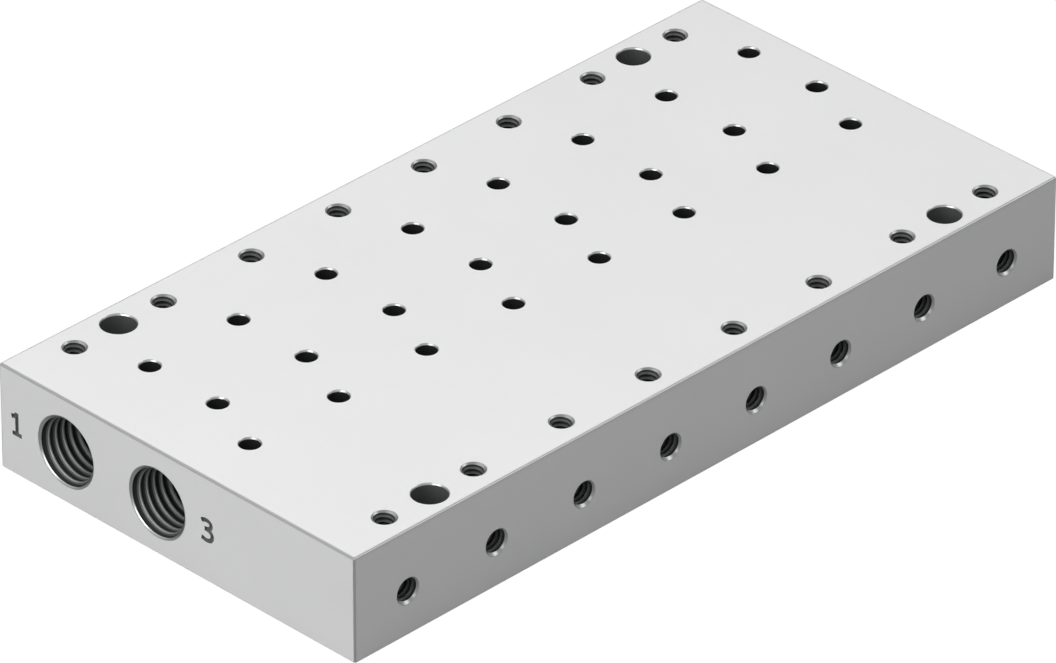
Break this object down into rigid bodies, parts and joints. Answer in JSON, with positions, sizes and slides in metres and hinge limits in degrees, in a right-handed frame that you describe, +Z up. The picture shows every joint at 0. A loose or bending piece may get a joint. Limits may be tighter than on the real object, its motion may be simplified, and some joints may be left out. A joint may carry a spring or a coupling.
{
  "type": "valve manifold rail",
  "caption": "Machined aluminium block that feeds a row of valves on its top face through two lengthwise channels, with a threaded outlet in its side for each valve.",
  "frame": {"origin": "middle of the bottom face", "axes": "+X along the rail, away from the numbered end; -Y towards the side face with the outlets; +Z up, out of the valve face"},
  "size_m": [0.172, 0.0864, 0.021],
  "materials": {
    "machined_aluminium": "fine milled faces with a clear matt anodised look, cut threads and bores"
  },
  "bodies": {
    "root": {"manifold_rail": "machined_aluminium"}
  },
  "joints": []
}
